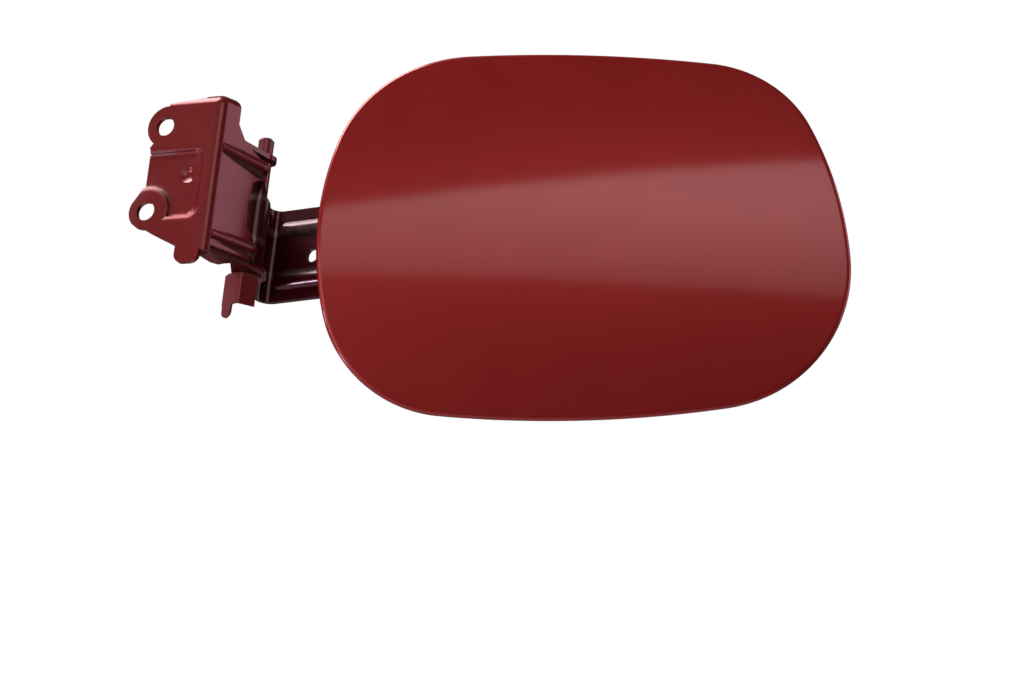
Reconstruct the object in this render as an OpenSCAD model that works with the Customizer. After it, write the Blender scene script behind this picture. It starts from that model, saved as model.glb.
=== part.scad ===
// Fuel filler flap of a car: a crowned oval door on a swan-neck hinge arm, with the
// stamped bracket that bolts it to the body. The door is modelled shut.
// +X runs from the hinge to the door's free edge, +Y into the car, +Z up the hinge pin.
// Every place below is measured from the axis of the hinge pin. The finished pieces are
// then shifted, so that the origin lies midway between the two bolt holes, on the seat.

/* [Hinge pin] */
// Diameter of the hinge pin
pin_d = 6; // [5:0.5:7]
// Height of the pin's upper end
pin_top = 45.5; // [42:0.5:50]
// Height of the pin's lower end
pin_bottom = -20; // [-24:0.5:-16]
// Chamfer at both ends of the pin
pin_chamfer = 0.8; // [0.3:0.1:1.2]
// Distance of the two flats from the pin's axis
pin_flat = 2.3; // [2:0.1:2.4]
// Height of the two flats at the lower end
pin_flat_h = 7; // [3:0.5:8]
// Radial running clearance of the pin in the bracket's ears
pin_play = 0.05; // [0.02:0.01:0.1]
// Radial clearance of the pin in the arm's rolled eye, a tight fit
eye_play = 0.02; // [0.01:0.01:0.05]

/* [Bracket] */
// Thickness of the bracket's sheet
bracket_t = 2; // [1.5:0.1:2.5]
// Distance of the bracket's fold to the left of the pin
fold_left = 17; // [15:0.5:20]
// Distance of the bracket's fold in front of the pin
fold_front = 25; // [24:0.5:28]
// Angle that the bolted flange turns back from the door's plane
flange_turn = 27; // [20:1:32]
// Angle that the web turns back towards the pin
web_turn = 38; // [35:1:40]
// Inner radius of the bracket's fold
fold_r = 2.5; // [1.5:0.5:4]
// Height of the bracket's upper edge
bracket_top = 52.5; // [50:0.5:55]
// Angle that the upper lip leans back
lip_angle = 50; // [30:5:60]
// Inner radius of the lip's bend
lip_r = 2; // [1:0.5:3]
// Straight length of the lip past its bend
lip_len = 1.2; // [0.5:0.1:2]
// Underside height of the upper ear
ear_high = 36; // [34:0.5:38]
// Top height of the lower ear
ear_low = -9; // [-12:0.5:-9]
// Radius of the lower ear round the pin
ear_r = 6.6; // [6:0.1:7]
// Radius of the upper ear round the pin
high_ear_r = 4.8; // [4.6:0.1:6]
// Inner radius of the bend between the web and the lower ear
ear_bend_r = 1.5; // [1:0.5:2]
// Outer radius of the round beads pressed into the web
web_bead_r = 3.6; // [3.2:0.1:4]
// Height that the upper web bead stands out at the ear
web_bead_h = 3.2; // [2:0.1:3.3]
// Depth of the pocket pressed into the flange
pocket_depth = 1; // [0.5:0.1:1.5]

/* [Bolt holes] */
// Diameter of the bolt holes
bolt_d = 7.5; // [6.5:0.1:8]
// Distance of the upper bolt hole from the fold
bolt_high_out = 23.8; // [22:0.1:26]
// Height of the upper bolt hole
bolt_high_z = 40.5; // [39:0.5:42]
// Distance of the lower bolt hole from the fold
bolt_low_out = 27.3; // [26:0.1:29]
// Height of the lower bolt hole
bolt_low_z = 6; // [4:0.5:8]
// Radius of the bracket's upper lug
lug_high_r = 8.4; // [7:0.1:9]
// Radius of the bracket's lower lug
lug_low_r = 7.2; // [6.5:0.1:8]

/* [Snap spring] */
// Thickness of the snap spring's leaf
spring_t = 0.9; // [0.6:0.1:1.2]
// Height of the spring's two wings
spring_h = 12.5; // [10:0.5:14]
// Length of the wing beside the pin
spring_long = 9; // [8:0.5:10]
// Length of the wing in front of the pin
spring_short = 7; // [6:0.5:8]
// Length of the tongue under the long wing
tongue_len = 2.5; // [2:0.5:4]
// Clearance of the pin in the spring's tab
spring_gap = 0.3; // [0.3:0.1:0.6]

/* [Hinge arm] */
// Thickness of the arm's sheet
arm_t = 1.8; // [1.5:0.1:2]
// Lower edge of the arm
arm_low = -8.5; // [-9:0.1:-8]
// Upper edge of the arm
arm_high = 29.5; // [26:0.5:30]
// Angle that the arm wraps round the pin
eye_wrap = 280; // [260:5:300]
// Lean of the first leg towards the door, away from straight back
leg_lean = -3; // [-4:0.5:4]
// Length of the first leg, from the pin to the deep bend
leg_deep = 29; // [26:0.5:32]
// Inner radius of the deep bend
deep_r = 3.5; // [3:0.5:5]
// Angle that the second leg comes forward to the door
leg_return = 34; // [32:1:36]
// Length of the second leg
leg_mid = 25; // [22:0.5:26]
// Angle that the third leg comes forward to the door
leg_dive = 62; // [58:1:66]
// Radius of the bend between the second and the third leg
dive_r = 12; // [10:0.5:14]
// Radius of the bend into the arm's foot
foot_r = 4; // [3:0.5:5]
// Length of the flat foot that is welded to the door
foot_len = 52; // [46:1:58]
// Radius of the beads pressed along the arm
arm_bead_r = 3.6; // [3.2:0.1:4]
// Height of the arm's upper bead
arm_bead_high = 21.3; // [20:0.1:23]
// Height of the arm's lower bead
arm_bead_low = -0.4; // [-2:0.1:1]
// Diameter of the hole in the arm's second leg
arm_hole_d = 5.5; // [5:0.5:8]
// Height of the hole in the arm's second leg
arm_hole_z = 9.4; // [8:0.1:12]
// Depth of the relief that is cut beside the rolled eye
relief_depth = 11.5; // [6:0.5:12]

/* [Door] */
// Distance of the door's middle from the pin, across
door_x = 124.5; // [122:0.5:128]
// Height of the door's middle above the middle of the hinge
door_z = 11; // [8:0.5:14]
// Distance of the door's outer face in front of the pin
door_front = 28; // [27:0.5:30]
// Tilt of the door's oval against the hinge pin
door_tilt = 7.5; // [5:0.5:9]
// Crown radius of the door from top to bottom
crown_upright = 460; // [400:10:800]
// Crown radius of the door from side to side
crown_across = 1500; // [1200:50:2500]
// Thickness of the outer sheet
skin_t = 0.8; // [0.7:0.1:1]
// Thickness of the inner sheet
inner_t = 0.8; // [0.6:0.1:1]
// Gap between the layers of the hem
hem_gap = 0.05; // [0.02:0.01:0.1]
// Width of the hem's folded flange
hem_w = 8; // [6:0.5:10]
// Depth of the inner panel's flat bottom behind the door's outer face
pan_depth = 9; // [8.5:0.1:11]
// Width of the inner panel's rim
pan_rim = 19; // [16:1:22]
// Slope width of the inner panel's walls
pan_slope = 5; // [3:0.5:7]

/* [Door outline] */
// Upper outer corner: its arc's centre across and up from the door's middle, and radius
corner_ur = [46, 27, 45.5]; // [20:0.5:60]
// Upper inner corner: centre across and up, and radius
corner_ul = [-39.5, 19.5, 56.5]; // [-60:0.5:60]
// Lower inner corner: centre across and up, and radius
corner_ll = [-50.5, -20.5, 49]; // [-60:0.5:60]
// Lower outer corner: centre across and up, and radius
corner_lr = [43.5, -11, 57]; // [-60:0.5:60]
// Radii of the four long sides: top, inner, bottom and outer
side_r = [610, 126, 424, 150]; // [110:2:700]

/* [Latch and fittings] */
// Thickness of the latch striker's sheet
striker_t = 1.5; // [1.2:0.1:2]
// Height of the striker's upright
striker_h = 19; // [17:0.5:22]
// Width of the striker
striker_w = 18; // [16:0.5:22]
// Length of the striker's foot
striker_foot = 18; // [16:0.5:22]
// Diameter of the striker's hole for the lock pin
lock_hole_d = 8.2; // [7:0.1:9]
// Distance of the striker's upright from the door's middle
striker_x = 62; // [58:0.5:64]
// Diameter of the striker's rivets
rivet_d = 4; // [3:0.5:5]
// Diameter of the rubber bumpers
bumper_d = 11; // [9:0.5:13]
// Height of the rubber bumpers
bumper_h = 9; // [7:0.5:12]
// Width of the cap holder
holder_w = 20; // [16:1:24]
// Reach of the cap holder's arms
holder_h = 16; // [13:0.5:18]

/* [Hidden] */
$fn = 64;

paint = [0.47, 0.12, 0.11];
dark_paint = [0.26, 0.06, 0.09];
steel = [0.62, 0.63, 0.64];
rubber = [0.10, 0.10, 0.10];
plastic = [0.16, 0.16, 0.17];

pin_r = pin_d / 2;

// A frame whose X runs along one of the bracket's faces, from the fold between them. Y runs
// back through the sheet from its front face, and Z up.
module at_fold(turn) translate([-fold_left, -fold_front, 0]) rotate([0, 0, turn]) children();

// A prism along Y over a flat outline that is drawn in X and Z
module prism(front, back) translate([0, back, 0]) rotate([90, 0, 0]) linear_extrude(back - front) children();

// The seat's middle, between the two bolt holes, becomes the origin
seat_out = (bolt_high_out + bolt_low_out) / 2;
seat = [-fold_left - seat_out * cos(flange_turn),
    -fold_front + seat_out * sin(flange_turn),
    (bolt_high_z + bolt_low_z) / 2];
module from_seat() translate(-seat) children();

// Bent sheets follow a path of steps: ["go", length] or ["left" or "right", angle, radius].
// The radius is that of the sheet's left face.

// Place and heading [x, y, heading] at the end of one step
function after(p, step) =
    let (h = p[2], n = step[1], r = step[2])
    step[0] == "go" ? [p[0] + n * cos(h), p[1] + n * sin(h), h] :
    step[0] == "left" ? [p[0] + r * (sin(h + n) - sin(h)), p[1] - r * (cos(h + n) - cos(h)), h + n] :
    [p[0] + r * (sin(h) - sin(h - n)), p[1] - r * (cos(h) - cos(h - n)), h - n];

// One step cut into pieces: straight ones into parts, bends every few degrees
bend_step = 7;
function cut_step(step, parts) =
    step[0] == "go" ? [for (k = [1 : parts]) ["go", step[1] / parts]] :
    let (n = ceil(step[1] / bend_step)) [for (k = [1 : n]) [step[0], step[1] / n, step[2]]];

// The stations along a whole path, from its start on
function stations(p, steps, i = 0) =
    i == len(steps) ? [p] : concat([p], stations(after(p, steps[i]), steps, i + 1));

function beside(p, side) = [p[0] - side * sin(p[2]), p[1] + side * cos(p[2])];

// Plan of a sheet along its stations, between two distances to the left
function sheet_plan(line, right, left) = concat(
    [for (p = line) beside(p, right)],
    [for (i = [len(line) - 1 : -1 : 0]) beside(line[i], left)]);

// A sheet whose section is a ring of points [left, up], one section for each station
module sweep(line, sections) {
    n = len(sections[0]);
    points = [for (i = [0 : len(line) - 1], q = sections[i])
        let (at = beside(line[i], q[0])) [at[0], at[1], q[1]]];
    sides = [for (i = [0 : len(line) - 2], j = [0 : n - 1])
        let (k = (j + 1) % n) [i * n + j, i * n + k, (i + 1) * n + k, (i + 1) * n + j]];
    first = [for (j = [n - 1 : -1 : 0]) j];
    last = [for (j = [0 : n - 1]) (len(line) - 1) * n + j];
    polyhedron(points, concat(sides, [first], [last]), convexity = 8);
}

// Bracket

fold_turn = flange_turn + web_turn;
fold_back = (fold_r + bracket_t) * tan(fold_turn / 2);
lip_foot = bracket_top - (lip_r + bracket_t) * sin(lip_angle) - lip_len * cos(lip_angle);
ear_under = ear_low - bracket_t;
blank_len = 40;
past = 6;
tab_out = 12.4;
tab_low = -16;
tab_r = 3.5;
web_end = 24.7;

// Section of the bracket's blank with its lip leaning back, from the foot of the front face up
// and down the back face. The front face lies at -bracket_t.
function lip_arc(r) = [for (a = [0 : lip_angle / 5 : lip_angle]) [lip_r - r * cos(a), lip_foot + r * sin(a)]];
function lip_end(r) =
    [lip_r - r * cos(lip_angle) + lip_len * sin(lip_angle), lip_foot + r * sin(lip_angle) + lip_len * cos(lip_angle)];
blank_section = concat(
    [[0, tab_low - 1], [-bracket_t, tab_low - 1]], lip_arc(lip_r + bracket_t), [lip_end(lip_r + bracket_t)],
    [lip_end(lip_r)], [for (i = [5 : -1 : 0]) lip_arc(lip_r)[i]]);

fold_steps = concat([["go", blank_len - fold_back]], cut_step(["left", fold_turn, fold_r], 1),
    [["go", blank_len - fold_back]]);
flange_far = [-blank_len * cos(flange_turn), blank_len * sin(flange_turn)] +
    bracket_t * [sin(flange_turn), cos(flange_turn)];
blank_line = stations([flange_far[0], flange_far[1], -flange_turn], fold_steps);

module blank()
    translate([-fold_left, -fold_front, 0]) sweep(blank_line, [for (p = blank_line) blank_section]);

// Outline of the flange as seen from the front: x runs to the right, the fold lies at 0
module flange_outline() {
    waist = bolt_high_out + 5.4;
    lug_x = bolt_high_out - 0.9;
    inner_x = -past;
    mirror([1, 0]) difference() {
        union() {
            polygon([
                [inner_x, bracket_top + 1], [inner_x, ear_under], [2.1, ear_under], [2.1, tab_low + tab_r],
                [tab_out, tab_low + tab_r],
                [tab_out, ear_low], [17.2, ear_low + 2.4], [bolt_low_out - 3.4, ear_low + 5.8],
                [bolt_low_out, bolt_low_z], [waist, bolt_low_z + 9.4], [waist, bolt_high_z - lug_high_r],
                [lug_x, bolt_high_z], [lug_x, bracket_top - 2.7], [12.6, bracket_top - 1.4]]);
            translate([2.1 + tab_r, tab_low]) square([tab_out - 2.1 - 2 * tab_r, tab_r + 1]);
            translate([2.1 + tab_r, tab_low + tab_r]) circle(r = tab_r);
            translate([tab_out - tab_r, tab_low + tab_r]) circle(r = tab_r);
            translate([bolt_low_out, bolt_low_z]) circle(r = lug_low_r);
            translate([lug_x, bolt_high_z]) circle(r = lug_high_r);
            translate([lug_x - lug_high_r, bolt_high_z - 9]) square([lug_high_r, 9]);
            polygon([[bolt_low_out, bolt_low_z - lug_low_r], [bolt_low_out, bolt_low_z],
                [20, bolt_low_z], [17.2, ear_low + 2.4], [bolt_low_out - 3.4, ear_low + 5.8]]);
            polygon([[bolt_low_out + lug_low_r * 0.78, bolt_low_z + lug_low_r * 0.62], [waist, bolt_low_z + 10],
                [20, bolt_low_z + 10], [20, bolt_low_z]]);
        }
        translate([waist + 2.1, bolt_high_z - lug_high_r - 1.9]) circle(r = 2.6);
    }
}

module pocket_outline() {
    corner = 4;
    top = bolt_high_z - lug_high_r - 2.4;
    mirror([1, 0]) difference() {
        union() {
            translate([5.5 + corner, 3]) square([40, top - 3]);
            translate([5.5, 3 + corner]) square([40, top - 3 - 2 * corner]);
            for (z = [3 + corner, top - corner])
                translate([5.5 + corner, z]) circle(r = corner);
        }
        translate([bolt_low_out, bolt_low_z]) circle(r = lug_low_r + 2.4);
    }
}

// The flange's pocket moves back as a whole, with the dimple in its middle
module flange() {
    press_r = 6.5;
    press = 0.9;
    difference() {
        union() {
            intersection() {
                blank();
                at_fold(-flange_turn) prism(-2, 8) difference() {
                    flange_outline();
                    pocket_outline();
                }
            }
            intersection() {
                at_fold(-flange_turn) translate([-blank_len, pocket_depth, 0]) cube([blank_len, bracket_t, 60]);
                at_fold(-flange_turn) prism(-2, 8) intersection() {
                    flange_outline();
                    pocket_outline();
                }
            }
        }
        for (at = [[bolt_high_out, bolt_high_z], [bolt_low_out, bolt_low_z]])
            at_fold(-flange_turn) translate([-at[0], 10, at[1]]) rotate([90, 0, 0]) cylinder(d = bolt_d, h = 20);
        at_fold(-flange_turn) translate([-11.5, pocket_depth + press - press_r, 20]) sphere(r = press_r);
    }
}

// Outline of the web: x runs from the fold to the web's end
module web_outline() {
    polygon([
        [-past, ear_under], [web_end - 3, ear_under], [web_end - 1.5, -3.5], [22, 0.5],
        [18.5, 4], [17.6, 14], [18.6, 22], [web_end - 0.4, 25.6], [web_end - 0.4, 30.6],
        [16.3, 34.6], [12.8, 36.8], [7.6, 44.4], [8.6, bracket_top - 2.6], [5.4, bracket_top + 1],
        [-past, bracket_top + 1]]);
}

// A round bead of the web: its middle line runs from the fold to its end, and comes out of the
// sheet on the way. The hollow behind it is less by the sheet and open at the back.
module web_bead(z_fold, z_end, out_end, r, open) {
    start = [fold_back - 0.5, web_bead_r - 0.6, z_fold];
    stop = [web_end - web_bead_r, web_bead_r - out_end, z_end];
    run = stop - start;
    length = norm(run);
    rise = asin(run[2] / length);
    translate(start) rotate([0, 0, atan2(run[1], run[0])]) rotate([0, -rise, 0]) {
        rotate([0, 90, 0]) cylinder(r = r, h = length);
        translate([length, 0, 0]) sphere(r = r);
        if (open) translate([0, 0, -r]) cube([length, 9, 2 * r]);
        if (open) translate([length, 0, 0]) rotate([-90, 0, 0]) cylinder(r = r, h = 9);
    }
}

beads = [[31.4, 28.4, web_bead_h], [-3.9, -4.4, web_bead_h * 0.7]];

module lower_ear_plan() {
    circle(r = ear_r);
    polygon([
        [-fold_left + 3, -fold_front + 2.4], [-18.5, -16.6], [-14.6, -10.9], [-11.5, -9.4], [-9, -11.4],
        [-6.9, -12.4], [-ear_r, -1.5], [ear_r, 1.5], [6, -4.5], [0, -14]]);
}

module upper_ear_plan() {
    circle(r = high_ear_r);
    polygon([[-14.4, -21.3], [-8, -16.3], [high_ear_r - 0.4, -1.5], [-high_ear_r + 0.4, 1.5], [-10.5, -12]]);
}

// The half space behind a plane that lies some way behind the web's front face
module behind_web(back) at_fold(web_turn) translate([-30, back, -30]) cube([90, 60, 90]);

module web() {
    intersection() {
        blank();
        at_fold(web_turn) prism(-2, 8) web_outline();
    }
    intersection() {
        translate([0, 0, ear_under]) linear_extrude(bracket_t) lower_ear_plan();
        behind_web(bracket_t / 2);
    }
    intersection() {
        translate([0, 0, ear_high]) linear_extrude(bracket_t) upper_ear_plan();
        behind_web(bracket_t / 2);
    }
    // Inner round of the bend into the lower ear
    at_fold(web_turn) translate([4, bracket_t - 0.3, ear_low - 0.3]) rotate([90, 0, 90])
        linear_extrude(web_end - 8) difference() {
            square(ear_bend_r + 0.3);
            translate([ear_bend_r + 0.4, ear_bend_r + 0.4]) circle(r = ear_bend_r);
        }
}

// What the outer round of the bend into the lower ear takes off
module ear_bend_cut() {
    r = ear_bend_r + bracket_t;
    at_fold(web_turn) translate([fold_back, 0, ear_under]) rotate([90, 0, 90]) linear_extrude(web_end + 5)
        difference() {
            translate([-2, -2]) square(r + 2);
            translate([r - 0.06, r - 0.06]) circle(r = r);
        }
}

module hinge_bracket() color(paint) from_seat() difference() {
    union() {
        flange();
        web();
        intersection() {
            at_fold(web_turn) for (b = beads) web_bead(b[0], b[1], b[2], web_bead_r, false);
            at_fold(web_turn) translate([fold_back, -9, ear_under]) cube([40, 9 + bracket_t / 2, 60]);
        }
    }
    intersection() {
        at_fold(web_turn) for (b = beads) web_bead(b[0], b[1], b[2], web_bead_r - bracket_t, true);
        at_fold(web_turn) translate([fold_back, -9, ear_low + 0.4]) cube([40, 12 + bracket_t, 60]);
    }
    ear_bend_cut();
    for (z = [ear_under, ear_high])
        translate([0, 0, z - 1]) cylinder(r = pin_r + pin_play, h = bracket_t + 2);
}

// Snap spring: two wings in a V round the pin's lower end, on a tab that lies under the ear

wing_from = [-8, -0.5];
wing_heading = -50;
wing_turn = 70;
wing_bend_r = 1;
tongue_r = 2.6;
wing_start = [wing_from[0], wing_from[1], wing_heading];
wing_line = stations(wing_start, concat([["go", spring_long - 1.5]], cut_step(["left", wing_turn, wing_bend_r], 1),
    [["go", spring_short - 1]]));

module snap_spring() color(paint) from_seat() {
    wing_low = ear_under - spring_h - 1;
    difference() {
        union() {
            translate([0, 0, wing_low]) linear_extrude(spring_h) polygon(sheet_plan(wing_line, -spring_t, 0));
            translate([wing_from[0], wing_from[1], 0]) rotate([0, 0, wing_heading]) {
                translate([1, -spring_t, wing_low + spring_h - 1]) cube([5.5, spring_t, 2]);
                translate([1, -spring_t, ear_under - spring_t]) cube([5.5, 6.5, spring_t]);
                translate([0.4, -spring_t, wing_low - tongue_len]) cube([2 * tongue_r, spring_t, tongue_len + 1]);
                translate([0.4 + tongue_r, 0, wing_low - tongue_len]) rotate([90, 0, 0])
                    cylinder(r = tongue_r, h = spring_t);
            }
            translate([0, 0, ear_under - spring_t]) cylinder(r = ear_r - 1.4, h = spring_t);
        }
        translate([0, 0, ear_under - 2 * spring_t]) cylinder(r = pin_r + spring_gap, h = 3 * spring_t);
        // Outer round of the bend between the wing and the tab
        translate([wing_from[0], wing_from[1], ear_under]) rotate([0, 0, wing_heading])
            translate([-1, -spring_t, 0]) rotate([90, 0, 90]) linear_extrude(10) difference() {
                translate([-1, -1.4]) square(2.4);
                translate([1.37, -1.37]) circle(r = 1.4);
            }
    }
}

// Hinge pin

module hinge_pin() color(steel) from_seat() difference() {
    union() {
        translate([0, 0, pin_bottom]) cylinder(r1 = pin_r - pin_chamfer, r2 = pin_r, h = pin_chamfer);
        translate([0, 0, pin_bottom + pin_chamfer])
            cylinder(r = pin_r, h = pin_top - pin_bottom - 2 * pin_chamfer);
        translate([0, 0, pin_top - pin_chamfer])
            cylinder(r1 = pin_r, r2 = pin_r - pin_chamfer, h = pin_chamfer);
    }
    for (side = [-1, 1])
        translate([side * (pin_flat + pin_r), 0, pin_bottom + pin_flat_h / 2 - 1])
            cube([2 * pin_r, 3 * pin_r, pin_flat_h + 2], center = true);
}

// Hinge arm

eye_r = pin_r + eye_play;
deep_out = deep_r + arm_t;
deep_turn = 90 - leg_lean + leg_return;
pan_back = pan_depth + inner_t;
foot_y = -door_front + pan_back + arm_t;
foot_corner = 8;
// The leg's faces lie a little nearer to the axis than the eye's, so that they run into its rounds
leg_inset = 0.1;
leg_side = eye_r - leg_inset;
eye_end = (acos(leg_side / eye_r) + acos((leg_side + arm_t) / (eye_r + arm_t))) / 2;
leg_out = (leg_deep + (deep_out + leg_side) * sin(leg_lean)) / cos(leg_lean);
arm_start = [leg_side * cos(leg_lean), -leg_side * sin(leg_lean), 90 - leg_lean];
after_out = after(arm_start, ["go", leg_out]);
after_deep = after(after_out, ["right", deep_turn, deep_out]);
after_mid = after(after_deep, ["go", leg_mid]);
after_dive = after(after_mid, ["right", leg_dive - leg_return, dive_r + arm_t]);
leg_down = (after_dive[1] - foot_r * (1 - cos(leg_dive)) - foot_y) / sin(leg_dive);
after_down = after(after_dive, ["go", leg_down]);
after_foot = after(after_down, ["left", leg_dive, foot_r]);

// A frame at a place [x, y, heading] of the arm's path
module at_place(p) translate([p[0], p[1], 0]) rotate([0, 0, p[2]]) children();

// A round bead along the second leg. It stands out on the right, and its hollow on the left is
// less by the sheet's thickness.
module arm_bead(z, r) at_place(after_deep) {
    translate([bead_end, 0, z]) rotate([0, 90, 0]) cylinder(r = r, h = leg_mid - 2 * bead_end);
    for (x = [bead_end, leg_mid - bead_end])
        translate([x, 0, z]) sphere(r = r);
}

bead_end = 1.5;
arm_hole_out = 16;
arm_beads = [arm_bead_low, arm_bead_high];

leg_steps = concat(
    [["go", leg_out]],
    cut_step(["right", deep_turn, deep_out], 1), [["go", leg_mid]],
    cut_step(["right", leg_dive - leg_return, dive_r + arm_t], 1), [["go", leg_down]],
    cut_step(["left", leg_dive, foot_r], 1), [["go", foot_len]]);
leg_line = stations(arm_start, leg_steps);

// The eye and the legs are made too tall, and one cut gives both the same level edges
module arm_strip(margin) intersection() {
    union() {
        rotate([0, 0, -leg_lean - eye_wrap]) rotate_extrude(angle = eye_wrap + eye_end)
            translate([eye_r - 0.6, arm_low - margin]) square([arm_t + 0.6, arm_high - arm_low + 2 * margin]);
        translate([0, 0, arm_low - 2 * margin]) linear_extrude(arm_high - arm_low + 4 * margin)
            polygon(sheet_plan(leg_line, -arm_t, 0));
    }
    translate([-50, -50, arm_low]) cube([200, 200, arm_high - arm_low]);
}

module hinge_arm() color(dark_paint) from_seat() difference() {
    union() {
        arm_strip(1);
        intersection() {
            for (z = arm_beads) arm_bead(z, arm_bead_r);
            at_place(after_deep) translate([-10, -10 - arm_t / 2, arm_low]) cube([60, 10, arm_high - arm_low]);
        }
    }
    for (z = arm_beads) arm_bead(z, arm_bead_r - arm_t);
    translate([0, 0, arm_low - 1]) cylinder(r = eye_r, h = arm_high - arm_low + 2);
    at_place(after_deep) translate([arm_hole_out, -10, arm_hole_z]) rotate([-90, 0, 0])
        cylinder(d = arm_hole_d, h = 20);
    // Relief in the upper edge beside the rolled eye
    translate([-0.5, 0, arm_high - relief_depth]) rotate([90, 0, 90]) linear_extrude(12)
        polygon([[-5.4, relief_depth], [-3.5, 2.5], [0, 0], [27, relief_depth], [27, relief_depth + 5],
            [-5.4, relief_depth + 5]]);
    // Round corners of the foot
    for (side = [0, 1])
        at_place(after_foot) translate([foot_len, 0, side == 0 ? arm_low : arm_high]) mirror([0, 0, side])
            difference() {
                translate([-foot_corner, -5, -5]) cube([foot_corner + 5, 10, foot_corner + 5]);
                translate([-foot_corner - 0.1, 6, foot_corner + 0.1]) rotate([90, 0, 0]) cylinder(r = foot_corner, h = 12);
            }
}

// Door

module at_door() translate([door_x, -door_front, door_z]) rotate([0, -door_tilt, 0]) children();

corners = [corner_ur, corner_ul, corner_ll, corner_lr];
function mid_of(c) = [c[0], c[1]];
function side_middle(i) =
    let (a = corners[i], b = corners[(i + 1) % 4], gap = mid_of(b) - mid_of(a), l = norm(gap),
        near = side_r[i] - a[2], far = side_r[i] - b[2],
        along = (near * near - far * far + l * l) / (2 * l), off = sqrt(near * near - along * along))
    mid_of(a) + gap / l * along + [-gap[1], gap[0]] / l * off;
function heading(from, to) = atan2(to[1] - from[1], to[0] - from[0]);
function arc(c, r, a, b, n) =
    [for (k = [0 : n - 1]) c + r * [cos(a + (b - a + 720) % 360 * k / n), sin(a + (b - a + 720) % 360 * k / n)]];

// The oval outline of eight arcs that run into each other, moved inwards
function outline(inset) = [
    for (i = [0 : 3])
        let (c = mid_of(corners[i]), before = side_middle((i + 3) % 4), next = side_middle(i),
            d = mid_of(corners[(i + 1) % 4]))
        each concat(
            arc(c, corners[i][2] - inset, heading(before, c), heading(next, c), 12),
            arc(next, side_r[i] - inset, heading(next, c), heading(next, d), 6))];

// The space behind the crowned outer face, from some depth on
module behind_crown(depth) {
    reach = crown_across - crown_upright;
    translate([0, crown_across, 0]) rotate([0, 0, -95]) rotate_extrude(angle = 10, $fn = 256)
        difference() {
            translate([reach, 0]) circle(r = crown_upright - depth, $fn = 256);
            translate([-crown_across, -crown_across])
                square([crown_across + reach + crown_upright * 0.9, 2 * crown_across]);
        }
}

module plate(inset, from, to) intersection() {
    prism(-1, 30) polygon(outline(inset));
    difference() {
        behind_crown(from);
        behind_crown(to);
    }
}

hem_from = skin_t + inner_t + 2 * hem_gap;

module outer_panel() color(paint) from_seat() at_door() difference() {
    plate(0, 0, hem_from + skin_t);
    plate(skin_t, skin_t, hem_from);
    intersection() {
        prism(-1, 30) polygon(outline(hem_w));
        behind_crown(skin_t);
    }
}

// Places on the inner panel
rivet_z = 5.2;
rivet_x = striker_x - striker_foot + 6;
bumper_at = [[60, 30], [58, -32]];
stem_d = 6;
holder_at = [22, 0];
peg_z = 9;
peg_d = 5;

module pan_form(inset, depth) hull() {
    prism(-1, 0) polygon(outline(pan_rim + inset));
    prism(0, depth) polygon(outline(pan_rim + pan_slope + inset));
}

module oblong(w, h) {
    square([w - h, h], center = true);
    for (s = [-1, 1])
        translate([s * (w - h) / 2, 0]) circle(d = h);
}

module inner_panel() color(dark_paint) from_seat() at_door() difference() {
    union() {
        difference() {
            plate(skin_t + hem_gap, skin_t + hem_gap, skin_t + hem_gap + inner_t);
            pan_form(inner_t, pan_depth);
        }
        intersection() {
            difference() {
                pan_form(0, pan_back);
                pan_form(inner_t, pan_depth);
            }
            behind_crown(skin_t + hem_gap);
        }
    }
    prism(-1, 30) {
        for (s = [-1, 1])
            translate([rivet_x, s * rivet_z]) circle(d = rivet_d);
        for (at = bumper_at)
            translate(at) circle(d = stem_d);
        for (s = [-1, 1])
            translate([holder_at[0], holder_at[1] + s * peg_z]) circle(d = peg_d);
        translate([5, 38]) oblong(60, 16);
        translate([0, -36]) oblong(70, 18);
    }
}

// Latch and fittings

module latch_striker() color(dark_paint) from_seat() at_door() difference() {
    round_r = 4;
    intersection() {
        translate([striker_x - striker_foot, pan_back + striker_t, 0])
            translate([0, 0, -striker_w / 2]) linear_extrude(striker_w) polygon(sheet_plan(stations([0, 0, 0],
                concat([["go", striker_foot - 2 * striker_t]], cut_step(["left", 90, striker_t], 1),
                    [["go", striker_h - 2 * striker_t]])), -striker_t, 0));
        rotate([90, 0, 90]) linear_extrude(striker_x + 10) union() {
            translate([0, -striker_w / 2]) square([pan_back + striker_h - round_r, striker_w]);
            translate([0, -striker_w / 2 + round_r]) square([pan_back + striker_h, striker_w - 2 * round_r]);
            for (s = [-1, 1])
                translate([pan_back + striker_h - round_r, s * (striker_w / 2 - round_r)]) circle(r = round_r);
        }
    }
    translate([striker_x - 10, pan_back + striker_h - striker_w / 2, 0]) rotate([0, 90, 0])
        cylinder(d = lock_hole_d, h = 20);
    prism(0, 20)
        for (s = [-1, 1])
            translate([rivet_x, s * rivet_z]) circle(d = rivet_d);
}

module striker_rivets() color(steel) from_seat() at_door() {
    head = 1.6;
    grip = inner_t + striker_t;
    for (s = [-1, 1])
        translate([rivet_x, pan_depth, s * rivet_z]) rotate([-90, 0, 0]) rotate_extrude()
            polygon([[0, -head], [rivet_d * 0.6, -head], [rivet_d * 0.9, -head * 0.4], [rivet_d * 0.9, 0],
                [rivet_d / 2, 0], [rivet_d / 2, grip], [rivet_d * 0.9, grip],
                [rivet_d * 0.9, grip + head * 0.4], [rivet_d * 0.6, grip + head], [0, grip + head]]);
}

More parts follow.
